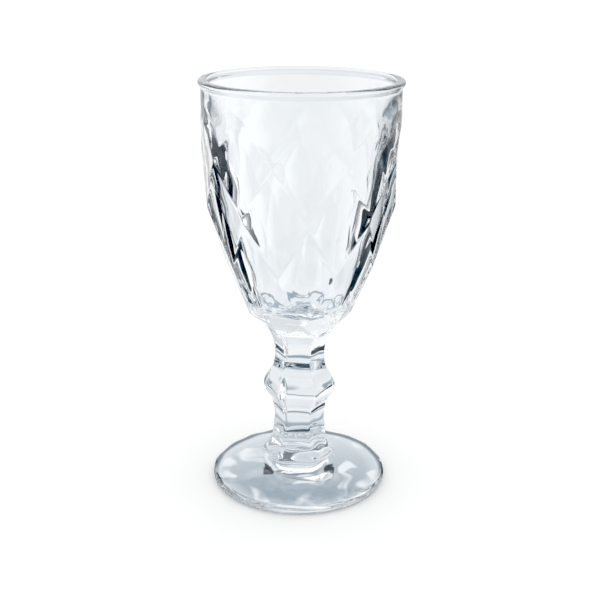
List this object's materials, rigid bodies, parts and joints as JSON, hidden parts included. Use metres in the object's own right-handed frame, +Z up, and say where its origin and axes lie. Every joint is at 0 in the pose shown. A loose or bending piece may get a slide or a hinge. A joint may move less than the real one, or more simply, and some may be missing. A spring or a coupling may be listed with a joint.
{
  "type": "cordial glass",
  "caption": "Small stemmed cordial glass of clear pressed glass: a bowl with long diamond facets and a round lip, a six-sided stem with a knop, and a round foot.",
  "frame": {"origin": "centre of the foot, on the surface that the glass stands on", "axes": "+Z up along the axis of the glass; +X through a corner of the six-sided stem and a ridge point of the bowl"},
  "size_m": [0.0494, 0.0494, 0.105],
  "materials": {
    "clear_glass": "clear colourless pressed soda-lime glass, fire polished, with soft ripples and slightly rounded facet ridges"
  },
  "bodies": {
    "root": {"bowl": "clear_glass", "stem": "clear_glass", "foot": "clear_glass"}
  },
  "joints": []
}
